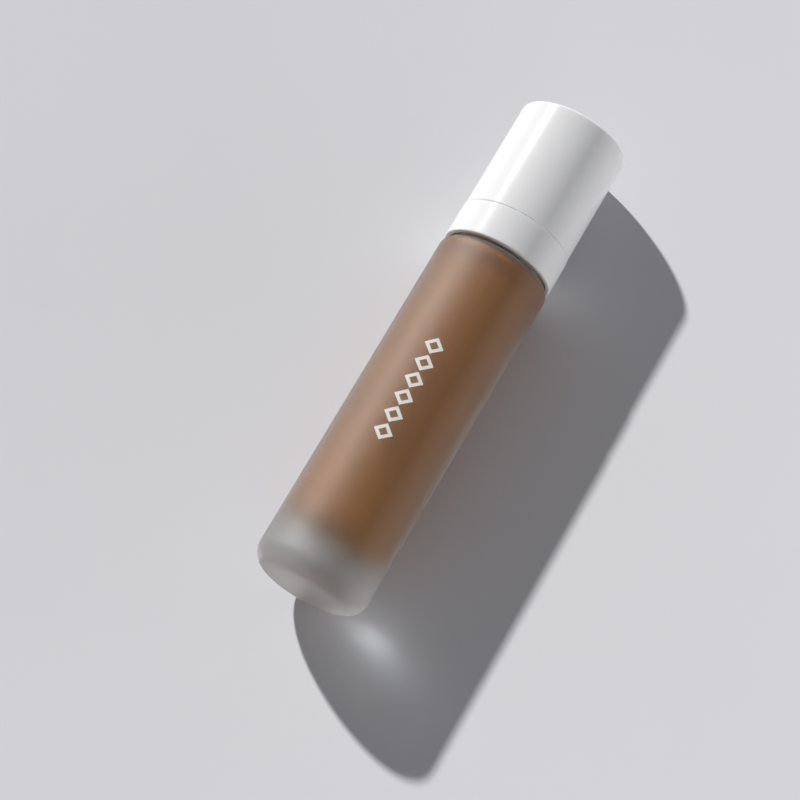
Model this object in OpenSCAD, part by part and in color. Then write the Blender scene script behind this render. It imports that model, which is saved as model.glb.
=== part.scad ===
// Foundation bottle: a frosted glass bottle with a screw-on dosing pump and a
// pull-off cap. The bottle stands on its base, +Z runs up its axis and the
// origin is the centre of the base. The nozzle points to -Y. Sizes are in mm.

/* [Bottle] */
// Outside diameter of the glass
bottle_d = 30; // [29.5:0.5:38]
// Height from the base to the flat of the shoulder
body_h = 95.8; // [85:0.1:130]
// Thickness of the solid glass base
base_t = 13; // [8:0.5:16]
// Thickness of the glass wall
wall_t = 4; // [2.5:0.1:4.2]
// Thickness of the glass at the shoulder
shoulder_t = 1; // [0.9:0.1:4]
// Thickness of the glass wall where it thins out under the shoulder
shoulder_wall_t = 1.8; // [1.2:0.1:2]
// Radius of the outer edge of the base
base_edge_r = 5; // [1:0.1:6]
// Radius of the outer edge of the shoulder
shoulder_edge_r = 2.3; // [0.5:0.1:2.5]
// Depth of the shallow dish under the base
dish_depth = 0.4; // [0.2:0.1:1]

/* [Neck and thread] */
// Outside diameter of the neck between the threads
neck_d = 17.4; // [17.2:0.1:18]
// Bore of the neck
neck_bore_d = 13.4; // [12.6:0.1:13.8]
// Height of the neck above the shoulder
neck_h = 10.4; // [10.2:0.1:12]
// Rise of the thread in one turn
pitch = 3.175; // [2.9:0.005:3.85]
// How far the thread stands proud of the neck
thread_h = 1; // [0.6:0.05:1.1]
// Number of turns of thread
thread_turns = 1.4; // [1:0.1:1.5]

/* [Collar] */
// How far the collar stands in from the glass
collar_step = 0.15; // [0:0.05:0.4]
// Height of the visible part of the collar
collar_h = 9.5; // [8:0.1:11]
// Gap between the glass shoulder and the collar
collar_gap = 0.4; // [0.2:0.1:1]
// Wall of the collar
collar_wall = 1.2; // [0.9:0.1:1.4]

/* [Cap] */
// How far the cap stands in from the collar
cap_step = 0.2; // [0:0.05:0.3]
// Height of the cap
cap_h = 31.3; // [25.9:0.1:45]
// Wall of the cap's outer shell
cap_wall = 1.1; // [0.8:0.1:1.2]
// Thickness of the cap's top
cap_top_t = 1.5; // [1:0.1:2.5]
// Wall of the cap's inner liner
liner_wall = 0.9; // [0.7:0.1:1]
// Radius of the cap's top edge
cap_edge_r = 0.7; // [0.4:0.1:1.4]

/* [Pump] */
// Bore of the pump cylinder
cylinder_bore_d = 8.2; // [8:0.1:9.9]
// Travel of the pump
stroke = 4.5; // [3:0.1:5.5]
// Outside diameter of the stem
stem_d = 4.5; // [4.3:0.1:4.8]
// Outside diameter of the dip tube
tube_d = 3.2; // [3:0.1:3.6]
// Gap between the dip tube and the glass floor
tube_floor_gap = 1.2; // [0.8:0.1:4]
// Outside diameter of the push button
button_d = 18; // [16:0.1:21.6]
// Height of the push button above its skirt
button_h = 14; // [13:0.1:15.5]
// Diameter of the spring wire
wire_d = 0.45; // [0.35:0.05:0.55]
// Number of turns of the spring
spring_turns = 6; // [4:1:7]

/* [Printed mark] */
// Length of the printed row
mark_len = 30; // [18:1:40]
// Height of each printed lozenge
mark_w = 5.2; // [4:0.1:7]
// Number of lozenges in the row
mark_count = 6; // [3:1:8]
// Width of the printed line
mark_line = 0.85; // [0.4:0.05:1]
// Height of the row's middle above the base
mark_z = 52; // [40:0.5:60]
// Angle of the row from the front of the bottle
mark_angle = -12; // [-30:1:30]

/* [Fits] */
// Radial gap of parts that slide or turn in each other
run_gap = 0.05; // [0.02:0.01:0.1]
// Gap between threads, and between parts that never touch
free_gap = 0.3; // [0.25:0.05:0.35]
// Gap between the seated cap and the collar's ledge
cap_seat_gap = 0.16; // [0.05:0.01:0.3]
// Radial gap between the cap's liner and the collar's neck
snap_gap = 0.1; // [0.05:0.01:0.15]

/* [Hidden] */
$fn = 96;
eps = 0.01;

// Glass
bottle_r = bottle_d / 2;
cavity_r = bottle_r - wall_t;
cavity_foot_r = 5.4;
cavity_edge_r = 1.5;
cavity_top = body_h - shoulder_t;
shoulder_in_r = bottle_r - shoulder_wall_t;
widening_h = 2.9;
widening_top = cavity_top - cavity_edge_r - 0.2;
neck_r = neck_d / 2;
neck_bore_r = neck_bore_d / 2;
neck_top = body_h + neck_h;
neck_foot_r = 0.8;
lip_r = 0.5;
dish_r = bottle_r - base_edge_r - 1.5;
dish_ball_r = (dish_r * dish_r + dish_depth * dish_depth) / (2 * dish_depth);

// Thread, shared by the glass and the closure
thread_root_w = 1.5;
thread_crest_w = 0.7;
thread_bury = 0.35;
thread_step = 10;
thread_fade = 40;
thread_lip_gap = 0.6;
thread_low = neck_top - thread_lip_gap - thread_turns * pitch - thread_root_w / 2;
thread_crest_r = neck_r + thread_h;

// Closure: it pulls the pump's flange down on the gasket
gasket_t = 0.8;
flange_t = 1.2;
flange_z = neck_top + gasket_t;
flange_top = flange_z + flange_t;
closure_bore_r = thread_crest_r + free_gap;
closure_wall = 1.5;
closure_r = closure_bore_r + closure_wall;
closure_top_t = 1.2;
closure_top = flange_top + closure_top_t;
closure_low = body_h + 1;
flange_r = closure_bore_r - free_gap - 0.1;

// Collar and cap
collar_r = bottle_r - collar_step;
collar_low = body_h + collar_gap;
ledge_z = collar_low + collar_h;
ledge_t = 1.4;
cap_r = collar_r - cap_step;
cap_low = ledge_z + cap_seat_gap;
cap_top = cap_low + cap_h;
liner_r = cap_r - cap_wall;
liner_bore_r = liner_r - liner_wall;
liner_low = cap_low + 0.6;
liner_top = cap_top - cap_top_t;
liner_top_t = 0.8;
spigot_r = liner_bore_r - snap_gap;
spigot_top = closure_top + 2.6;
snap_bead_h = snap_gap / 2;
snap_bead_l = 0.8;
rim_r = 0.45;

// Pump cylinder, from the flange down
bore_r = cylinder_bore_d / 2;
cylinder_wall = 0.9;
cylinder_r = bore_r + cylinder_wall;
chaplet_plug_l = 4.4;
chaplet_low = flange_top - chaplet_plug_l;
piston_gap = 0.4;
piston_h = 4.2;
piston_top = chaplet_low - piston_gap;
piston_low = piston_top - piston_h;
lower_flange_t = 0.8;
spring_top = piston_low - lower_flange_t;
spring_squeezed = wire_d * (spring_turns + 1) + 0.6;
spring_low = spring_top - stroke - spring_squeezed;
retainer_t = 0.85;
floor_z = spring_low - retainer_t;
vent_r = 0.4;
vent_z = piston_top - 1.2;

// Inlet valve: a ball on a 45 degree seat
ball_r = 1.5;
ball_lift = 1;
ball_float = 0.03;
chamber_r = ball_r + 0.25;
inlet_bore_r = 0.9;
ball_z = floor_z - ball_lift - ball_float - ball_r - 0.1;
seat_z = ball_z - ball_float - 2 * ball_r * sin(45) + inlet_bore_r;
tube_r = tube_d / 2;
tube_bore_r = tube_r - 0.6;
socket_l = 4.6;
socket_top = seat_z - 0.9;
socket_low = socket_top - socket_l;
socket_r = tube_r + 1.1;
tube_low = base_t + tube_floor_gap;

// Stem, and the outlet valve in its top
stem_r = stem_d / 2;
stem_bore_r = 0.8;
stem_foot_r = 1.75;
plug_r = 1.2;
plug_l = 3.6;
guide_top = closure_top + 0.4;
button_clear = 0.3;
button_low = guide_top + stroke + button_clear;
socket_depth = 4.2;
core_ceiling = button_low + socket_depth;
stem_top = core_ceiling - 0.15;
out_ball_r = 1.2;
out_ball_lift = 0.8;
out_chamber_r = out_ball_r + 0.25;
out_ball_z = core_ceiling - 0.1 - out_ball_lift - out_ball_r;
out_seat_z = out_ball_z - ball_float - 2 * out_ball_r * sin(45) + stem_bore_r;

// Push button
button_r = button_d / 2;
button_wall = 1.1;
button_top = button_low + button_h;
button_edge_r = 1.2;
pad_dip = 0.9;
pad_r = button_r - 1.6;
pad_ball_r = (pad_r * pad_r + pad_dip * pad_dip) / (2 * pad_dip);
skirt_bore_r = button_r - button_wall;
pad_under = button_top - 2.6;
core_r = 3.4;
core_disc_t = 1.2;
core_disc_z = pad_under - core_disc_t;
channel_r = 0.8;
spout_r = 2;
spout_z = core_ceiling + spout_r + 1;
spout_reach = liner_bore_r - free_gap - 1.2;
insert_r = 1.3;
insert_l = 2.4;
insert_bore_r = 0.45;

// A solid of revolution up to radius r, from z0 to z1, with rounded outer edges
module turned(r, z0, z1, low = 0, high = 0) {
    rotate_extrude() {
        translate([0, z0 + low]) square([r, z1 - z0 - low - high]);
        if (low > 0) {
            translate([0, z0]) square([r - low, low + eps]);
            translate([r - low, z0 + low]) circle(low);
        }
        if (high > 0) {
            translate([0, z1 - high - eps]) square([r - high, high + eps]);
            translate([r - high, z1 - high]) circle(high);
        }
    }
}

// A plain ring between two radii
module ring(r_out, r_in, z0, z1) {
    rotate_extrude() translate([r_in, z0]) square([r_out - r_in, z1 - z0]);
}

// A drilled hole along Z
module drill(r, z0, z1) {
    translate([0, 0, z0]) cylinder(r = r, h = z1 - z0);
}

// One corner point of the thread's section, a degrees along the helix
function thread_point(a, r, z) = [r * cos(a), r * sin(a), z + pitch * a / 360];

// How much of the full thread stands proud a degrees along, fading at both ends
function thread_part(a, total) = min(1, a / thread_fade, (total - a) / thread_fade);

// The four corners of the section: root and crest, low side then high side
function thread_section(a, total, root_r, height, z) =
    let (
        part = max(0.02, thread_part(a, total)),
        crest = root_r + height * part,
        buried = root_r - sign(height) * thread_bury
    )
    [
        thread_point(a, buried, z - thread_root_w / 2),
        thread_point(a, crest, z - thread_crest_w / 2),
        thread_point(a, crest, z + thread_crest_w / 2),
        thread_point(a, buried, z + thread_root_w / 2)
    ];

// Faces of a tube made of rings of n points, wound to face outwards
function tube_faces(rings, n, flip) = [
    for (i = [0 : rings - 2], k = [0 : n - 1])
        let (
            a = i * n + k,
            b = i * n + (k + 1) % n,
            c = (i + 1) * n + (k + 1) % n,
            d = (i + 1) * n + k
        )
        flip ? [d, c, b, a] : [a, b, c, d]
];
function end_faces(rings, n, flip) = [
    [for (k = [0 : n - 1]) flip ? k : n - 1 - k],
    [for (k = [0 : n - 1]) (rings - 1) * n + (flip ? n - 1 - k : k)]
];

// A helical ridge: a positive height stands outwards, a negative one inwards
module thread(root_r, height, z) {
    total = 360 * thread_turns;
    rings = ceil(total / thread_step) + 1;
    points = [
        for (i = [0 : rings - 1])
            each thread_section(total * i / (rings - 1), total, root_r, height, z)
    ];
    flip = height < 0;
    polyhedron(
        points,
        concat(tube_faces(rings, 4, flip), end_faces(rings, 4, flip))
    );
}

// The space inside the glass below the neck; it widens where the glass thins at the shoulder
module cavity_body(gap = 0) {
    turned(cavity_r - gap, base_t, cavity_top - gap, cavity_foot_r, 0);
    translate([0, 0, widening_top - widening_h])
        cylinder(r1 = cavity_r - gap, r2 = shoulder_in_r - gap, h = widening_h + eps);
    turned(shoulder_in_r - gap, widening_top, cavity_top - gap, 0, cavity_edge_r);
}

// The whole hollow, with the bore of the neck
module cavity() {
    cavity_body();
    drill(neck_bore_r, cavity_top - 1, neck_top + 1);
}

module glass_bottle() {
    color("#c9cac8") difference() {
        union() {
            turned(bottle_r, 0, body_h, base_edge_r, shoulder_edge_r);
            turned(neck_r, body_h - 1, neck_top, 0, lip_r);
            rotate_extrude() difference() {
                translate([neck_r - eps, body_h - eps]) square(neck_foot_r + eps);
                translate([neck_r + neck_foot_r, body_h + neck_foot_r]) circle(neck_foot_r);
            }
            thread(neck_r, thread_h, thread_low);
        }
        cavity();
        translate([0, 0, dish_depth - dish_ball_r]) sphere(dish_ball_r);
    }
}

// The filling stands up to the neck and leaves room for the pump to be drawn up
module foundation_liquid() {
    liquid_gap = 0.02;
    liquid_top = cavity_top - 0.3;
    color("#8a5c38") difference() {
        intersection() {
            cavity_body(liquid_gap);
            drill(bottle_r, 0, liquid_top);
        }
        drill(tube_r + free_gap, base_t - 1, cavity_top);
        drill(socket_r + free_gap, socket_low - free_gap, cavity_top);
        drill(cylinder_r + free_gap, seat_z - 2 * free_gap, cavity_top);
    }
}

// A flat lozenge with its middle at the origin
module lozenge(length, width) {
    polygon([[0, -length / 2], [width / 2, 0], [0, length / 2], [-width / 2, 0]]);
}

// An open lozenge, drawn with a line of one width all round
module open_lozenge(length, width) {
    inside_r = length * width / 2 / norm([length, width]);
    inner = 1 - mark_line / inside_r;
    difference() {
        lozenge(length, width);
        lozenge(length * inner, width * inner);
    }
}

// A row of lozenges, wrapped on the glass as a thin layer of ink
module printed_mark() {
    ink_t = 0.06;
    step = mark_len / mark_count;
    lozenge_l = step - 0.4;
    color("#ebe6de") rotate([0, 0, mark_angle]) intersection() {
        ring(bottle_r + ink_t, bottle_r, mark_z - mark_len, mark_z + mark_len);
        union() {
            for (i = [0 : mark_count - 1]) {
                translate([0, 0, mark_z + (i - (mark_count - 1) / 2) * step])
                    rotate([90, 0, 0])
                    linear_extrude(bottle_r + 1) open_lozenge(lozenge_l, mark_w);
            }
        }
    }
}

module neck_gasket() {
    color("#e8e8e4") ring(flange_r, cylinder_r + free_gap, neck_top, flange_z);
}

module pump_housing() {
    color("#f1f1ef") difference() {
        union() {
            turned(flange_r, flange_z, flange_top, 0, 0.2);
            drill(cylinder_r, seat_z - free_gap, flange_z + eps);
            drill(socket_r, socket_low, seat_z);
        }
        drill(bore_r, floor_z, flange_top + 1);
        drill(chamber_r, ball_z, floor_z + eps);
        ball_seat(inlet_bore_r, chamber_r, seat_z, ball_z);
        drill(inlet_bore_r, socket_low, seat_z + eps);
        drill(tube_r, socket_low - 1, socket_top);
        translate([0, 0, vent_z]) rotate([90, 0, 0]) cylinder(r = vent_r, h = cylinder_r + 1);
    }
}

// A 45 degree seat that opens from r0 to r1, then runs straight up to z1
module ball_seat(r0, r1, z0, z1) {
    rotate_extrude() polygon([
        [0, z0],
        [r0, z0],
        [r1, z0 + r1 - r0],
        [r1, z1 + eps],
        [0, z1 + eps]
    ]);
}

// Snaps into the cylinder's mouth, guides the stem and keeps the piston in
module chaplet() {
    wiper_r = stem_r + 0.7;
    color("#f4f4f2") difference() {
        union() {
            drill(bore_r, chaplet_low, flange_top);
            turned(bore_r + 1.9, flange_top, guide_top, 0, 0.3);
        }
        drill(stem_r + run_gap, chaplet_low - 1, guide_top + 1);
        drill(wiper_r, chaplet_low + 1.4, chaplet_low + 2.6);
    }
}

// Soft ring in the chaplet's groove that keeps the stem clean
module stem_wiper() {
    wiper_r = stem_r + 0.7;
    color("#dcdcd8") ring(wiper_r, stem_r + run_gap, chaplet_low + 1.4, chaplet_low + 2.6);
}

// Slotted disc over the inlet ball, and the spring's lower seat
module ball_retainer() {
    slot_count = 3;
    slot_r = 0.55;
    slot_place_r = chamber_r - 0.35;
    color("#e4e4e0") difference() {
        drill(bore_r, floor_z, spring_low);
        drill(0.7, floor_z - 1, spring_low + 1);
        for (i = [0 : slot_count - 1])
            rotate([0, 0, i * 360 / slot_count])
                translate([slot_place_r, 0, 0]) drill(slot_r, floor_z - 1, spring_low + 1);
    }
}

module inlet_ball() {
    color("#c8ccd0") translate([0, 0, ball_z]) sphere(ball_r);
}

module dip_tube() {
    color("#eef0ee") difference() {
        drill(tube_r, tube_low, socket_top);
        drill(tube_bore_r, tube_low - 1, socket_top + 1);
        translate([0, 0, tube_low]) rotate([0, 90, 0])
            cylinder(r = 0.7, h = 2 * tube_d, center = true);
    }
}

// Centre of the spring's wire at turn t: the pitch closes up at both ends
function coil_z(t) =
    let (
        closed = 0.5,
        low = spring_low + wire_d / 2,
        high = spring_top - wire_d / 2,
        open_turns = spring_turns - 2 * closed,
        rise = high - low - 2 * closed * wire_d
    )
    t < closed ? low + wire_d * t
    : t > spring_turns - closed ? high - wire_d * (spring_turns - t)
    : low + closed * wire_d + rise * (t - closed) / open_turns;

module return_spring() {
    coil_r = plug_r + 1.4;
    sides = 6;
    steps = 20;
    rings = spring_turns * steps + 1;
    points = [
        for (i = [0 : rings - 1], k = [0 : sides - 1])
            let (
                a = 360 * i / steps,
                b = 360 * k / sides,
                r = coil_r + wire_d / 2 * cos(b)
            )
            [r * cos(a), r * sin(a), coil_z(i / steps) + wire_d / 2 * sin(b)]
    ];
    color("#aab0b6") polyhedron(
        points,
        concat(tube_faces(rings, sides, false), end_faces(rings, sides, false))
    );
}

module stem() {
    foot_low = piston_low;
    color("#f7f7f5") difference() {
        union() {
            drill(stem_r, piston_top, stem_top);
            drill(stem_foot_r, foot_low, piston_top + eps);
        }
        drill(stem_bore_r, foot_low - 1, out_seat_z + eps);
        drill(plug_r, foot_low - 1, foot_low + plug_l);
        ball_seat(stem_bore_r, out_chamber_r, out_seat_z, stem_top + 1);
    }
}

// Plugs into the stem, clamps the piston and carries the spring's upper end
module lower_stem() {
    inlet_r = 0.6;
    flange = plug_r + 2.1;
    color("#ececea") difference() {
        union() {
            drill(flange, spring_top, piston_low);
            drill(plug_r, piston_low - eps, piston_low + plug_l);
        }
        drill(inlet_r, spring_top - 1, piston_low + plug_l + 1);
    }
}

// Two thin lips run on the bore and a web holds them to the stem
module piston() {
    lip_t = 0.5;
    lip_h = 1;
    lip_r_out = bore_r - run_gap;
    waist_r = lip_r_out - 0.45;
    color("#f0eee6") rotate_extrude() polygon([
        [stem_foot_r, piston_low],
        [stem_foot_r + 1, piston_low],
        [stem_foot_r + 1, piston_low + lip_h],
        [lip_r_out - lip_t, piston_low + lip_h / 2],
        [lip_r_out, piston_low + lip_h / 2],
        [lip_r_out, piston_low + lip_h],
        [waist_r, piston_low + 1.6 * lip_h],
        [waist_r, piston_top - 1.6 * lip_h],
        [lip_r_out, piston_top - lip_h],
        [lip_r_out, piston_top - lip_h / 2],
        [lip_r_out - lip_t, piston_top - lip_h / 2],
        [stem_foot_r + 1, piston_top - lip_h],
        [stem_foot_r + 1, piston_top],
        [stem_foot_r, piston_top]
    ]);
}

module outlet_ball() {
    color("#c8ccd0") translate([0, 0, out_ball_z]) sphere(out_ball_r);
}

// Carries the liquid from the stem to the spout and snaps into the button
module actuator_core() {
    color("#f6f6f4") difference() {
        union() {
            drill(core_r, button_low, pad_under);
            drill(skirt_bore_r, core_disc_z, pad_under);
            translate([0, 0, spout_z]) rotate([90, 0, 0])
                cylinder(r = spout_r, h = spout_reach);
        }
        drill(stem_r + run_gap, button_low - 1, core_ceiling);
        drill(channel_r, core_ceiling - 1, spout_z);
        translate([0, 0, spout_z]) rotate([90, 0, 0])
            cylinder(r = channel_r, h = spout_reach + 1);
        translate([0, -spout_reach + insert_l, spout_z]) rotate([90, 0, 0])
            cylinder(r = insert_r, h = insert_l + 1);
    }
}

module button_shell() {
    color("#fbfbfb") difference() {
        turned(button_r, button_low, button_top, rim_r, button_edge_r);
        drill(skirt_bore_r, button_low - 1, pad_under);
        translate([0, 0, button_top - pad_dip + pad_ball_r]) sphere(pad_ball_r);
        translate([0, 0, spout_z]) rotate([90, 0, 0]) cylinder(r = spout_r, h = button_r + 1);
    }
}

module nozzle_insert() {
    color("#e2e4e6") translate([0, -spout_reach + insert_l, spout_z]) rotate([90, 0, 0])
        difference() {
            cylinder(r = insert_r, h = insert_l);
            translate([0, 0, -1]) cylinder(r = insert_bore_r, h = insert_l + 2);
        }
}

// The threaded ring. It turns on the pump's flange and pulls it on to the neck
module closure_ring() {
    color("#f3f3f1") {
        difference() {
            turned(closure_r, closure_low, closure_top, 0, 0.3);
            drill(closure_bore_r, closure_low - 1, flange_top);
            drill(bore_r + 1.9 + free_gap, flange_top - 1, closure_top + 1);
        }
        thread(closure_bore_r, -thread_h, thread_low - pitch / 2);
    }
}

// The visible collar: an outer skirt, a ledge for the cap and a neck that holds it
module collar_sleeve() {
    color("#fdfdfd") {
        difference() {
            turned(collar_r, collar_low, ledge_z, rim_r, 0.1);
            drill(collar_r - collar_wall, collar_low - 1, ledge_z - ledge_t);
            drill(closure_r, collar_low - 1, ledge_z + 1);
        }
        difference() {
            turned(spigot_r, closure_low + 0.3, spigot_top, 0, rim_r);
            drill(closure_r, closure_low, spigot_top + 1);
        }
        ring(spigot_r + snap_bead_h, spigot_r - rim_r, spigot_top - 1.8,
             spigot_top - 1.8 + snap_bead_l);
    }
}

module cap_shell() {
    color("#ffffff") difference() {
        turned(cap_r, cap_low, cap_top, 0.15, cap_edge_r);
        drill(liner_r, cap_low - 1, liner_top);
    }
}

module cap_liner() {
    color("#f5f5f3") difference() {
        drill(liner_r, liner_low, liner_top);
        drill(liner_bore_r, liner_low - 1, liner_top - liner_top_t);
    }
}

glass_bottle();
foundation_liquid();
printed_mark();
neck_gasket();
pump_housing();
chaplet();
stem_wiper();
ball_retainer();
inlet_ball();
dip_tube();
return_spring();
stem();
lower_stem();
piston();
outlet_ball();
actuator_core();
button_shell();
nozzle_insert();
closure_ring();
collar_sleeve();
cap_shell();
cap_liner();
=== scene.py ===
# %% [markdown]
# # A frosted foundation bottle
#
# The bottle is built around its working model, which already holds every part at its real
# size and place. This lesson gives each part the shape and finish that the eye expects:
# frosted glass over a thick base, brown liquid, polished white plastic, and under the cap a
# small pump with its spring, balls and tubes.

# %% Load the working model
import math
import bmesh
import bpy
from mathutils import Matrix, Vector


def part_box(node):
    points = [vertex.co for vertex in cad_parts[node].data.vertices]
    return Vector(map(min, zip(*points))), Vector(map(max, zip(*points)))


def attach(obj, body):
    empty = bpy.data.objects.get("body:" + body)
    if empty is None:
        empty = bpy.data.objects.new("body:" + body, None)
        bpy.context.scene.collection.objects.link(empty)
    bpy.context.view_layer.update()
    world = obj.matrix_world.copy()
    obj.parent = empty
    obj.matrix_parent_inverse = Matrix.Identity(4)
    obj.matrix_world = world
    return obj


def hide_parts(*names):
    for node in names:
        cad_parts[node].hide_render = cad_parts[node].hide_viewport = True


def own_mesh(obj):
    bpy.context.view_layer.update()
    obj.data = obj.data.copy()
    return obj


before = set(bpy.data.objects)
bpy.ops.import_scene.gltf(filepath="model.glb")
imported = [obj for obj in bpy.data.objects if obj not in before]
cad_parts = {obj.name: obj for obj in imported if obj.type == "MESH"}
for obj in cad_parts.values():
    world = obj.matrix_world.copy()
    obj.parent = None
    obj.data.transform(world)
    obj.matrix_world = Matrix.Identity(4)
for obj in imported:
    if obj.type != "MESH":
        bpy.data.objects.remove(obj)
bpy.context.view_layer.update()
MM = 0.001

# %% [markdown]
# ## The camera
#
# The bottle lies on its side, with its base towards us, and we look steeply down at it. In
# the model's own frame the bottle stands upright, so here the camera does the leaning: it
# sits below the base, looks up along the bottle, and rolls to the right. A long lens keeps
# the sides nearly parallel. A wide lens up close would swell the near end.

# %% Place the camera
CAMERA_PLACE = Vector((-3.5, -628.9, -152.3)) * MM
CAMERA_LIFT = math.radians(18.09)
CAMERA_ROLL = math.radians(30.82)
CAMERA_LENS = 122

camera_data = bpy.data.cameras.new("camera")
camera_data.lens = CAMERA_LENS
camera_data.sensor_width = 36
camera_data.clip_start = 0.01
camera = bpy.data.objects.new("camera", camera_data)
bpy.context.scene.collection.objects.link(camera)
forward = Vector((0, math.cos(CAMERA_LIFT), math.sin(CAMERA_LIFT)))
level_up = Vector((0, -math.sin(CAMERA_LIFT), math.cos(CAMERA_LIFT)))
level_right = Vector((1, 0, 0))
right = level_right * math.cos(CAMERA_ROLL) + level_up * math.sin(CAMERA_ROLL)
up = level_up * math.cos(CAMERA_ROLL) - level_right * math.sin(CAMERA_ROLL)
turn = Matrix((right, up, -forward)).transposed()
camera.matrix_world = Matrix.Translation(CAMERA_PLACE) @ turn.to_4x4()
bpy.context.scene.camera = camera
bpy.context.scene.view_settings.view_transform = "Standard"
print("camera at", [round(v, 3) for v in CAMERA_PLACE])

# %% [markdown]
# ## Setting up a material in a few lines
#
# Every finish here starts from the Principled shader. A small helper sets its sockets by
# name. Three more add what makes a surface look made by a real process: a fine bump, a
# colour that drifts a little over the part, and a gloss that isn't quite even. The patterns
# use the part's own coordinates in metres, so a grain of 0.2 mm is written as 0.2 mm.

# %% Material helpers
PATTERN_LOW, PATTERN_HIGH = 0.3, 0.7  # noise seldom leaves this range, so tones span it


def shader_of(material):
    return material.node_tree.nodes["Principled BSDF"]


def new_material(name, **sockets):
    """A material whose Principled sockets have the given values."""
    material = bpy.data.materials.new(name)
    material.use_nodes = True
    for socket, value in sockets.items():
        shader_of(material).inputs[socket.replace("_", " ")].default_value = value
    return material


def add_node(material, kind, links=(), **values):
    """A node with its values set, and links given as (socket, output it comes from)."""
    node = material.node_tree.nodes.new(kind)
    for name, value in values.items():
        node.inputs[name.replace("_", " ")].default_value = value
    for socket, output in links:
        material.node_tree.links.new(output, node.inputs[socket])
    return node


def noise(material, size, detail=2, stretch=(1, 1, 1)):
    """Noise with blobs of that size in metres, made longer along an axis by stretch."""
    place = add_node(material, "ShaderNodeTexCoord").outputs["Object"]
    scaled = add_node(material, "ShaderNodeMapping", [("Vector", place)],
                      Scale=[1 / (size * s) for s in stretch])
    return add_node(material, "ShaderNodeTexNoise", [("Vector", scaled.outputs[0])],
                    Scale=1, Detail=detail).outputs["Fac"]


def add_grain(material, height, depth):
    """A bump of that depth in metres where the height pattern goes from 0 to 1."""
    bump = add_node(material, "ShaderNodeBump", [("Height", height)],
                    Strength=1, Distance=depth)
    material.node_tree.links.new(bump.outputs["Normal"], shader_of(material).inputs["Normal"])


def add_drift(material, low, high, pattern):
    """Base colour that drifts between two near tones, following the pattern."""
    ramp = add_node(material, "ShaderNodeValToRGB", [("Fac", pattern)])
    for element, position, tone in zip(ramp.color_ramp.elements,
                                       (PATTERN_LOW, PATTERN_HIGH), (low, high)):
        element.position = position
        element.color = (*tone, 1)
    material.node_tree.links.new(ramp.outputs["Color"],
                                 shader_of(material).inputs["Base Color"])


def add_uneven_gloss(material, low, high, pattern):
    """Roughness that goes from low to high with the pattern."""
    spread = add_node(material, "ShaderNodeMapRange", [("Value", pattern)],
                      From_Min=PATTERN_LOW, From_Max=PATTERN_HIGH, To_Min=low, To_Max=high)
    material.node_tree.links.new(spread.outputs[0], shader_of(material).inputs["Roughness"])


# %% [markdown]
# ## The floor
#
# A plain pale sheet that the bottle lies on. It touches the glass along one line, so it is
# one glass radius away from the axis. It has a front only: seen from behind it is clear, so
# that we can walk all round the bottle.

# %% Floor
def size_of(node):
    """Radius, lowest and highest height of a round CAD node, in millimetres."""
    low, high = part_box(node)
    return (high.x - low.x) / 2 / MM, low.z / MM, high.z / MM


glass_r, _, neck_top = size_of("glass_bottle")
FLOOR_TURN = math.radians(-15.6)
FLOOR_SIZE = 3
floor_normal = Vector((math.sin(FLOOR_TURN), -math.cos(FLOOR_TURN), 0))
across_floor = Vector((math.cos(FLOOR_TURN), math.sin(FLOOR_TURN), 0))

bpy.ops.mesh.primitive_grid_add(x_subdivisions=2, y_subdivisions=2, size=FLOOR_SIZE)
floor = bpy.context.object
floor.name = "floor"
floor.rotation_mode = "QUATERNION"
floor.rotation_quaternion = floor_normal.to_track_quat("Z", "Y")
floor.location = -floor_normal * glass_r * MM

paper = new_material("floor_paper", Roughness=0.95, Specular_IOR_Level=0.05)
add_drift(paper, (0.845, 0.844, 0.864), (0.853, 0.852, 0.872), noise(paper, 50 * MM))
clear = add_node(paper, "ShaderNodeBsdfTransparent")
side = add_node(paper, "ShaderNodeNewGeometry")
one_sided = add_node(paper, "ShaderNodeMixShader", [
    (0, side.outputs["Backfacing"]), (1, shader_of(paper).outputs[0]), (2, clear.outputs[0])])
paper.node_tree.links.new(one_sided.outputs[0],
                          paper.node_tree.nodes["Material Output"].inputs["Surface"])
floor.data.materials.append(paper)
print("floor lies", round(glass_r, 2), "mm behind the axis")

# %% [markdown]
# ## The light
#
# One hard key comes in low from the upper left and draws the long clean shadow. The room is
# a pale, even sky that fills the shadow to about a quarter of the lit floor. A long soft
# strip stands on the floor at the right: it lights the dark side of the white cap, and
# because it is so low it adds little to the floor. It is hidden from reflections, so it
# draws no second streak.

# %% Key, sky and strip
KEY_FROM = Vector((-0.8127, -0.3038, 0.4972)).normalized()
key_data = bpy.data.lights.new("key", "SUN")
key_data.energy = 3.46
key_data.angle = math.radians(2)
key = bpy.data.objects.new("key", key_data)
key.rotation_mode = "QUATERNION"
key.rotation_quaternion = KEY_FROM.to_track_quat("Z", "Y")
bpy.context.scene.collection.objects.link(key)

sky = bpy.data.worlds.new("sky")
sky.use_nodes = True
sky.node_tree.nodes["Background"].inputs["Color"].default_value = (0.93, 0.94, 1, 1)
sky.node_tree.nodes["Background"].inputs["Strength"].default_value = 0.16
bpy.context.scene.world = sky

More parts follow.
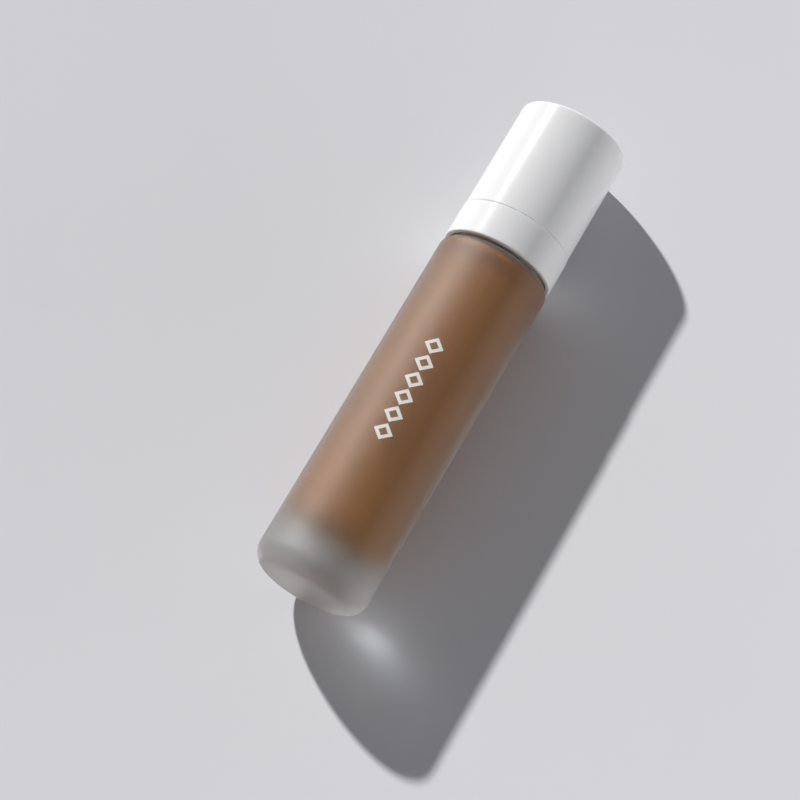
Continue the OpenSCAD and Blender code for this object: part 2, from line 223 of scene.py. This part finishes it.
STRIP_AWAY = 0.7
STRIP_HEIGHT = 0.22
STRIP_LENGTH = 1.6
STRIP_ALONG = 0.07
strip_data = bpy.data.lights.new("strip", "AREA")
strip_data.shape = "RECTANGLE"
strip_data.size = STRIP_LENGTH
strip_data.size_y = STRIP_HEIGHT
strip_data.energy = 2.4
strip = bpy.data.objects.new("strip", strip_data)
strip_place = (across_floor * STRIP_AWAY
               + floor_normal * (STRIP_HEIGHT / 2 - glass_r * MM)
               + Vector((0, 0, STRIP_ALONG)))
strip_turn = Matrix((floor_normal.cross(across_floor), floor_normal, across_floor))
strip.matrix_world = Matrix.Translation(strip_place) @ strip_turn.transposed().to_4x4()
strip.visible_glossy = False
bpy.context.scene.collection.objects.link(strip)
key_height = math.degrees(math.asin(KEY_FROM.dot(floor_normal)))
print("key is", round(key_height), "degrees above the floor")

# %% [markdown]
# ## Turning parts on a lathe
#
# Almost every part of this bottle is round, so it can be drawn as half of its section and
# spun round the axis. The section is a list of corners (radius, height) in millimetres. A
# third number rounds the corner into a short arc, as a real mould would. Spinning a section
# gives clean rings of faces, where a bevelled cylinder would have long thin triangles.

# %% Lathe helpers
ARC_STEPS = 7
TURNS = 192
ON_AXIS = 0.001


def rounded(before, corner, after, radius):
    """Points of the arc that rounds a corner of the section."""
    to_before = (before - corner).normalized()
    to_after = (after - corner).normalized()
    half = to_before.angle(to_after) / 2
    reach = radius / math.tan(half)
    centre = corner + (to_before + to_after).normalized() * (radius / math.sin(half))
    start = corner + to_before * reach - centre
    end = corner + to_after * reach - centre
    whole = start.angle_signed(end)
    return [centre + Matrix.Rotation(-whole * k / ARC_STEPS, 2) @ start
            for k in range(ARC_STEPS + 1)]


def section_points(corners):
    """The points of a section, with an arc at each corner that has a third number."""
    flat = [Vector(c[:2]) for c in corners]
    points = []
    for k, corner in enumerate(corners):
        if len(corner) == 3:
            points += rounded(flat[k - 1], flat[k], flat[(k + 1) % len(flat)], corner[2])
        else:
            points.append(flat[k])
    return points


def mesh_from(name, bm):
    """Turns the faces of a bmesh outwards and makes it a mesh."""
    bmesh.ops.recalc_face_normals(bm, faces=bm.faces)
    mesh = bpy.data.meshes.new(name)
    bm.to_mesh(mesh)
    bm.free()
    return mesh


def lathe_mesh(name, corners, closed=True):
    """Spins a section round Z. Leave it open if it starts and ends on the axis."""
    bm = bmesh.new()
    rings = []
    for r, z in section_points(corners):
        if r < ON_AXIS:
            rings.append([bm.verts.new((0, 0, z * MM))] * TURNS)
            continue
        angles = [2 * math.pi * k / TURNS for k in range(TURNS)]
        rings.append([bm.verts.new((r * MM * math.cos(a), r * MM * math.sin(a), z * MM))
                      for a in angles])
    pairs = list(zip(rings, rings[1:])) + ([(rings[-1], rings[0])] if closed else [])
    for low, high in pairs:
        for k in range(TURNS):
            after = (k + 1) % TURNS
            corner = list(dict.fromkeys([low[k], low[after], high[after], high[k]]))
            if len(corner) > 2:
                bm.faces.new(corner)
    return mesh_from(name, bm)


def add_piece(mesh, body, slot, *replaced, corner_angle=35):
    """Puts a mesh in the scene as a piece that rides on a body and stands for CAD nodes."""
    piece = bpy.data.objects.new(mesh.name, mesh)
    bpy.context.scene.collection.objects.link(piece)
    mesh.shade_smooth()
    mesh.set_sharp_from_angle(angle=math.radians(corner_angle))
    flats = piece.modifiers.new("keep_flats_flat", "WEIGHTED_NORMAL")
    flats.keep_sharp = True
    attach(piece, body)
    if replaced:
        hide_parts(*replaced)
    print("made", piece.name, "with", len(mesh.polygons), "faces")
    return piece


# %% [markdown]
# ## The glass bottle
#
# One piece of glass: a thick solid base with a shallow dish under it, straight walls, a
# rounded shoulder and a threaded neck. The inner floor is round too, because hot glass
# can't hold a sharp inner corner. At the shoulder the wall thins out, so the liquid can be
# seen right up to the top edge.

# %% Glass bottle
BODY_H = 95.8
BASE_T = 13
WALL_T = 4
WIDENS_FROM = 90.2
WIDE_FROM = 93.1
SHOULDER_IN_R = 13.2
SHOULDER_IN_Z = 94.8
NECK_R = 8.7
NECK_BORE_R = 6.7
HEEL_ROUND = 5
SHOULDER_ROUND = 2.3
LIP_ROUND = 0.5
INNER_FLOOR_ROUND = 5.4
INNER_SHOULDER_ROUND = 1.5
BASE_DISH = [(0, 0.4), (3, 0.35), (6, 0.2), (8.5, 0.0)]
cavity_r = glass_r - WALL_T
glass_section = BASE_DISH + [
    (glass_r, 0, HEEL_ROUND), (glass_r, BODY_H, SHOULDER_ROUND), (NECK_R, BODY_H, 0.8),
    (NECK_R, neck_top, LIP_ROUND), (NECK_BORE_R, neck_top, LIP_ROUND),
    (NECK_BORE_R, SHOULDER_IN_Z, 0.4), (SHOULDER_IN_R, SHOULDER_IN_Z, INNER_SHOULDER_ROUND),
    (SHOULDER_IN_R, WIDE_FROM), (cavity_r, WIDENS_FROM),
    (cavity_r, BASE_T, INNER_FLOOR_ROUND), (0, BASE_T)]
glass = add_piece(lathe_mesh("frosted_glass_bottle", glass_section, closed=False),
                  "bottle", "frosted_glass", "glass_bottle")

# %% [markdown]
# ## Frosted glass
#
# The outside is etched with acid and the inside stays clear. Etching leaves a rough skin on
# clear glass: light is spread where it enters and where it leaves, so the edge of the
# liquid melts away as the glass over it gets thicker. The etched grains also throw some of
# the key straight back, and that is the pale veil on the lit side. Most of it comes from a
# very rough coat, and a little sheen adds to it at low angles. The glass itself takes a
# little light, which shows only where it is thick, in the base.

# %% Frosted and clear glass
GLASS_TINT = (0.575, 0.60, 0.585, 1)
GLASS_DENSITY = 22
MARGIN = 0.1
INSIDE_TOP = BODY_H - 0.5


def add_body_tint(material):
    tint = add_node(material, "ShaderNodeVolumeAbsorption", Color=GLASS_TINT,
                    Density=GLASS_DENSITY)
    material.node_tree.links.new(tint.outputs[0],
                                 material.node_tree.nodes["Material Output"].inputs["Volume"])


frosted = new_material("frosted_glass", IOR=1.48, Transmission_Weight=0.995,
                       Sheen_Weight=0.4, Sheen_Roughness=0.45,
                       Coat_Weight=1.0, Coat_Roughness=0.7, Coat_IOR=1.7)
etched = noise(frosted, 0.2 * MM)
add_grain(frosted, etched, 0.012 * MM)
clouds = noise(frosted, 9 * MM, detail=4)
add_drift(frosted, (0.80, 0.81, 0.815), (0.82, 0.83, 0.835), clouds)
add_uneven_gloss(frosted, 0.57, 0.61, clouds)
add_body_tint(frosted)

clear_glass = new_material("clear_glass", IOR=1.5, Transmission_Weight=1.0)
ripples = noise(clear_glass, 6 * MM)
add_drift(clear_glass, (0.95, 0.965, 0.96), (0.965, 0.975, 0.97), ripples)
add_uneven_gloss(clear_glass, 0.02, 0.05, ripples)
add_body_tint(clear_glass)

glass.data.materials.append(frosted)
glass.data.materials.append(clear_glass)
for face in glass.data.polygons:
    middle_r = math.hypot(face.center.x, face.center.y) / MM
    middle_z = face.center.z / MM
    inside = middle_r < SHOULDER_IN_R + MARGIN and BASE_T - MARGIN < middle_z < INSIDE_TOP
    on_neck = middle_z > BODY_H + MARGIN
    face.material_index = 1 if inside or on_neck else 0

# %% [markdown]
# ## Rods and ridges that follow a path
#
# The neck's thread and the pump's spring are both a small section carried along a helix. One
# helper does both: at each point of the path it places the section, and joins it to the one
# before.

# %% Sweep helper
def sweep_mesh(name, path, section_at):
    """Carries a section along a helix. path is a list of (angle, height) in radians and mm."""
    bm = bmesh.new()
    rings = []
    for k, (angle, height) in enumerate(path):
        turned = Matrix.Rotation(angle, 3, "Z")
        rings.append([bm.verts.new(turned @ Vector((r, 0, height + z)) * MM)
                      for r, z in section_at(k / (len(path) - 1))])
    for low, high in zip(rings, rings[1:]):
        for k in range(len(low)):
            after = (k + 1) % len(low)
            bm.faces.new((low[k], low[after], high[after], high[k]))
    bm.faces.new(rings[0])
    bm.faces.new(rings[-1])
    return mesh_from(name, bm)


# %% [markdown]
# ## The thread on the neck
#
# A right-hand ridge of 1.4 turns. It fades in and out over 40 degrees, so that the closure
# can find it. A glass thread is soft in section, so it narrows in two steps to its crest.

# %% Neck thread
PITCH = 3.175
THREAD_TURNS = 1.4
THREAD_H = 1
THREAD_LOW = 100.405
THREAD_BURY = 0.35
HALF_FOOT, HALF_EDGE, HALF_CREST = 0.75, 0.42, 0.2
EDGE_DROP = 0.25
LEAST = 0.02
FADE_ANGLE = 40
FADE = FADE_ANGLE / (360 * THREAD_TURNS)
HELIX_STEPS = 200


def thread_section(along):
    """The ridge's section at that share of its length: lower where it fades."""
    part = max(LEAST, min(1, along / FADE, (1 - along) / FADE))
    root = NECK_R - THREAD_BURY
    crest = NECK_R + THREAD_H * part
    edge = crest - EDGE_DROP * part
    return [(root, -HALF_FOOT), (edge, -HALF_EDGE), (crest, -HALF_CREST),
            (crest, HALF_CREST), (edge, HALF_EDGE), (root, HALF_FOOT)]


helix = [(2 * math.pi * THREAD_TURNS * k / HELIX_STEPS,
          THREAD_LOW + PITCH * THREAD_TURNS * k / HELIX_STEPS)
         for k in range(HELIX_STEPS + 1)]
glass_thread = add_piece(sweep_mesh("glass_thread", helix, thread_section),
                         "bottle", "frosted_glass", corner_angle=60)
glass_thread.data.materials.append(clear_glass)

# %% [markdown]
# ## The foundation
#
# Liquid foundation is pigment in oil and water: it hides what is behind it, and a little
# light scatters just under its skin. It fills the shoulder, rises round the pump inside the
# neck and wets the glass, so its skin is set 0.05 mm into the wall. If it only touched the
# wall the two surfaces would flicker, and a gap would show as a silver film. Its middle is
# stepped, to leave room for the tube, the tube's socket and the pump's cylinder.

# %% Foundation
WETS = 0.05
NECK_FILL = 101
TUBE_SPACE = 2.0
SOCKET_SPACE = 3.0
CYLINDER_SPACE = 5.6
SOCKET_LOW = 79.6
CYLINDER_LOW = 84.6
wet_r = cavity_r + WETS
wet_shoulder_r = SHOULDER_IN_R + WETS
wet_shoulder_z = SHOULDER_IN_Z + WETS
wet_neck_r = NECK_BORE_R + WETS
liquid_section = [
    (TUBE_SPACE, BASE_T - WETS), (wet_r, BASE_T - WETS, INNER_FLOOR_ROUND),
    (wet_r, WIDENS_FROM), (wet_shoulder_r, WIDE_FROM),
    (wet_shoulder_r, wet_shoulder_z, INNER_SHOULDER_ROUND),
    (wet_neck_r, wet_shoulder_z), (wet_neck_r, NECK_FILL),
    (CYLINDER_SPACE, NECK_FILL), (CYLINDER_SPACE, CYLINDER_LOW),
    (SOCKET_SPACE, CYLINDER_LOW), (SOCKET_SPACE, SOCKET_LOW), (TUBE_SPACE, SOCKET_LOW)]
liquid = add_piece(lathe_mesh("foundation", liquid_section), "bottle", "foundation",
                   "foundation_liquid")
brown = new_material("foundation", Roughness=0.4, Specular_IOR_Level=0.0,
                     Subsurface_Weight=0.15, Subsurface_Scale=0.001)
shader_of(brown).inputs["Subsurface Radius"].default_value = (1.2, 0.6, 0.3)
add_drift(brown, (0.475, 0.180, 0.010), (0.495, 0.190, 0.013), noise(brown, 14 * MM))
add_grain(brown, noise(brown, 3 * MM), 0.02 * MM)
liquid.data.materials.append(brown)

# %% [markdown]
# ## White plastic
#
# The cap, the collar and the button's skin come from polished moulds. White plastic isn't
# paint: light goes in a millimetre or so and comes out again, which softens the shade.

# %% White plastics
gloss_white = new_material("white_gloss_plastic", Specular_IOR_Level=0.25,
                           Subsurface_Weight=0.25, Subsurface_Scale=0.001)
shader_of(gloss_white).inputs["Subsurface Radius"].default_value = (1, 1, 1)
add_drift(gloss_white, (0.935, 0.934, 0.932), (0.948, 0.947, 0.945),
          noise(gloss_white, 12 * MM))
add_uneven_gloss(gloss_white, 0.17, 0.20, noise(gloss_white, 5 * MM, detail=4))
add_grain(gloss_white, noise(gloss_white, 0.8 * MM), 0.0006 * MM)

matt_white = new_material("white_matt_plastic", Specular_IOR_Level=0.35)
add_drift(matt_white, (0.84, 0.84, 0.83), (0.87, 0.87, 0.86), noise(matt_white, 8 * MM))
add_uneven_gloss(matt_white, 0.42, 0.52, noise(matt_white, 2 * MM))
add_grain(matt_white, noise(matt_white, 0.15 * MM), 0.004 * MM)

# %% [markdown]
# ## The collar
#
# It hides the screw closure and carries the cap. Its skirt has a rounded lower rim, which
# catches a thin line of light above the dark gap at the glass. On top is a ledge, and a neck
# with a fine bead that the cap snaps over.

# %% Collar
COLLAR_WALL = 1.2
LEDGE_T = 1.4
LEDGE_Z = 105.7
SPIGOT_R = 12.55
NECK_START = 97.1
RIM_ROUND = 0.45
LEDGE_ROUND = 0.2
BEAD_BELOW_TOP = 1.8
BEAD_PROUD = 0.05
BEAD_H = 0.8
BEAD_RAMP = 0.2
collar_r, collar_low, spigot_top = size_of("collar_sleeve")
closure_r = size_of("closure_ring")[0]
bead_low = spigot_top - BEAD_BELOW_TOP
bead_high = bead_low + BEAD_H
collar_section = [
    (closure_r, NECK_START), (SPIGOT_R, NECK_START), (SPIGOT_R, LEDGE_Z - LEDGE_T),
    (collar_r - COLLAR_WALL, LEDGE_Z - LEDGE_T), (collar_r - COLLAR_WALL, collar_low, 0.2),
    (collar_r, collar_low, RIM_ROUND), (collar_r, LEDGE_Z, LEDGE_ROUND), (SPIGOT_R, LEDGE_Z),
    (SPIGOT_R, bead_low), (SPIGOT_R + BEAD_PROUD, bead_low + BEAD_RAMP),
    (SPIGOT_R + BEAD_PROUD, bead_high - BEAD_RAMP), (SPIGOT_R, bead_high),
    (SPIGOT_R, spigot_top, RIM_ROUND), (closure_r, spigot_top, 0.2)]
collar = add_piece(lathe_mesh("collar", collar_section), "closure", "white_gloss_plastic",
                   "collar_sleeve")
collar.data.materials.append(gloss_white)

# %% [markdown]
# ## The cap
#
# A plain straight shell with a small round on its top edge and a fine one at its mouth. The
# dark hairline between cap and collar is a real gap.

# %% Cap
CAP_TOP_T = 1.5
MOUTH_ROUND = 0.25
TOP_ROUND = 0.7
cap_r, cap_low, cap_top = size_of("cap_shell")
liner_r = size_of("cap_liner")[0]
cap_section = [
    (0, cap_top - CAP_TOP_T), (liner_r, cap_top - CAP_TOP_T), (liner_r, cap_low),
    (cap_r, cap_low, MOUTH_ROUND), (cap_r, cap_top, TOP_ROUND), (0, cap_top)]
cap = add_piece(lathe_mesh("cap", cap_section, closed=False), "cap", "white_gloss_plastic",
                "cap_shell")
cap.data.materials.append(gloss_white)

# %% [markdown]
# ## Keep the white cap from lighting the floor
#
# A white cap in hard light throws a pale glow on the paper beside it. In a product picture
# that glow is taken out, so that the paper stays one even tone. Here the floor's soft bounce
# rays pass through the cap. It still stops the key light, so the shadow stays.

# %% No glow round the cap
cap.visible_diffuse = False
print("no soft glow from the", cap.name)

# %% [markdown]
# ## The push button
#
# Under the cap sits a round button with a shallow dish for the fingertip. Only its skin is
# turned here; the spout that comes out of its side belongs to the core inside it.

# %% Push button
BUTTON_WALL = 1.1
PAD_T = 2.6
DISH_R = 7.4
DISH_DIP = 0.9
DISH_RINGS = (6.5, 5.5, 4.5, 3.5, 2.5, 1.5, 0.7, 0)
button_r, button_low, button_top = size_of("button_shell")
dish_ball_r = (DISH_R ** 2 + DISH_DIP ** 2) / (2 * DISH_DIP)
dish = [(r, button_top - DISH_DIP + dish_ball_r - math.sqrt(dish_ball_r ** 2 - r * r))
        for r in DISH_RINGS]
button_section = [
    (0, button_top - PAD_T), (button_r - BUTTON_WALL, button_top - PAD_T),
    (button_r - BUTTON_WALL, button_low), (button_r, button_low, 0.45),
    (button_r, button_top, 1.2), (DISH_R, button_top, 0.25)] + dish
button = add_piece(lathe_mesh("button", button_section, closed=False), "button",
                   "white_gloss_plastic", "button_shell")
button.data.materials.append(gloss_white)

# %% [markdown]
# ## The spring
#
# Drawn steel wire, wound in six turns. Half a turn is closed at each end, so that it stands
# square.

# %% Spring
WIRE_D = 0.45
SPRING_TURNS = 6
CLOSED_TURNS = 0.5
WIRE_SIDES = 12
COIL_STEPS = 48
spring_r, spring_low, spring_top = size_of("return_spring")
coil_r = spring_r - WIRE_D / 2


def coil_height(turn):
    """Height of the wire's centre: it climbs slowly at both ends and evenly between."""
    low = spring_low + WIRE_D / 2
    high = spring_top - WIRE_D / 2
    if turn < CLOSED_TURNS:
        return low + WIRE_D * turn
    if turn > SPRING_TURNS - CLOSED_TURNS:
        return high - WIRE_D * (SPRING_TURNS - turn)
    rise = high - low - 2 * CLOSED_TURNS * WIRE_D
    return (low + CLOSED_TURNS * WIRE_D
            + rise * (turn - CLOSED_TURNS) / (SPRING_TURNS - 2 * CLOSED_TURNS))


def wire_section(along):
    return [(coil_r + WIRE_D / 2 * math.cos(a), WIRE_D / 2 * math.sin(a))
            for a in (2 * math.pi * k / WIRE_SIDES for k in range(WIRE_SIDES))]


coil = [(2 * math.pi * k / COIL_STEPS, coil_height(k / COIL_STEPS))
        for k in range(COIL_STEPS * SPRING_TURNS + 1)]
spring = add_piece(sweep_mesh("return_coil", coil, wire_section), "pump", "steel",
                   "return_spring", corner_angle=50)
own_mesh(spring)

steel = new_material("drawn_steel", Metallic=1.0)
drawn = noise(steel, 0.1 * MM, detail=3, stretch=(1, 1, 6))
add_drift(steel, (0.55, 0.56, 0.58), (0.64, 0.65, 0.67), drawn)
add_uneven_gloss(steel, 0.18, 0.3, drawn)
spring.data.materials.append(steel)

# %% [markdown]
# ## The valve balls
#
# Two small steel balls, ground and polished. One lets liquid into the pump and one lets it
# out.

# %% Valve balls
for node, body in (("inlet_ball", "inlet_valve"), ("outlet_ball", "outlet_valve")):
    ball_low, ball_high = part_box(node)
    bm = bmesh.new()
    bmesh.ops.create_uvsphere(bm, u_segments=40, v_segments=20,
                              radius=(ball_high.z - ball_low.z) / 2,
                              matrix=Matrix.Translation((ball_low + ball_high) / 2))
    ball = add_piece(mesh_from(node + "_polished", bm), body, "steel", node,
                     corner_angle=180)
    ball.data.materials.append(steel)

# %% [markdown]
# ## The parts that keep their working shape
#
# The pump's inner parts are already the right shape, so they only need finishes. Natural
# plastic is milky and lets light in. The seals are softer and duller. The dip tube is clear
# and shows faint lines from being drawn out. The foam gasket is full of tiny cells, and the
# ink of the printed row is opaque and slightly raised.

# %% Finishes for the rest
natural = new_material("natural_plastic", Specular_IOR_Level=0.4, Subsurface_Weight=0.5,
                       Subsurface_Scale=0.001)
shader_of(natural).inputs["Subsurface Radius"].default_value = (1.5, 1.5, 1.4)
add_drift(natural, (0.80, 0.81, 0.78), (0.86, 0.865, 0.84), noise(natural, 4 * MM))
add_uneven_gloss(natural, 0.35, 0.45, noise(natural, 1.5 * MM))
add_grain(natural, noise(natural, 0.2 * MM), 0.003 * MM)

seal = new_material("seal_plastic", Specular_IOR_Level=0.3, Subsurface_Weight=0.3,
                    Subsurface_Scale=0.001)
add_drift(seal, (0.70, 0.69, 0.65), (0.76, 0.75, 0.71), noise(seal, 2 * MM))
add_uneven_gloss(seal, 0.5, 0.62, noise(seal, 1 * MM))

tube_clear = new_material("clear_plastic", IOR=1.49, Transmission_Weight=0.75)
drawn_lines = noise(tube_clear, 0.3 * MM, stretch=(1, 1, 30))
add_drift(tube_clear, (0.83, 0.85, 0.84), (0.90, 0.91, 0.90), drawn_lines)
add_uneven_gloss(tube_clear, 0.12, 0.25, drawn_lines)

foam = new_material("foam", Specular_IOR_Level=0.1, Roughness=0.95)
place = add_node(foam, "ShaderNodeTexCoord").outputs["Object"]
cells = add_node(foam, "ShaderNodeTexVoronoi", [("Vector", place)], Scale=1 / (0.3 * MM))
add_drift(foam, (0.62, 0.62, 0.60), (0.80, 0.80, 0.77), cells.outputs["Distance"])
add_grain(foam, cells.outputs["Distance"], 0.08 * MM)

ink = new_material("mark_ink", Roughness=0.5, Specular_IOR_Level=0.3)
add_drift(ink, (0.95, 0.93, 0.88), (0.975, 0.96, 0.92), noise(ink, 1.5 * MM))
add_grain(ink, noise(ink, 0.25 * MM), 0.006 * MM)

FINISHES = {
    "printed_mark": ink, "neck_gasket": foam, "pump_housing": natural, "chaplet": natural,
    "stem_wiper": seal, "ball_retainer": natural, "dip_tube": tube_clear, "stem": natural,
    "lower_stem": natural, "piston": seal, "actuator_core": matt_white,
    "nozzle_insert": matt_white, "closure_ring": matt_white, "cap_liner": matt_white}
for name, finish in FINISHES.items():
    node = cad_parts[name]
    node.data.materials.clear()
    node.data.materials.append(finish)
print("finished", len(FINISHES), "working parts")
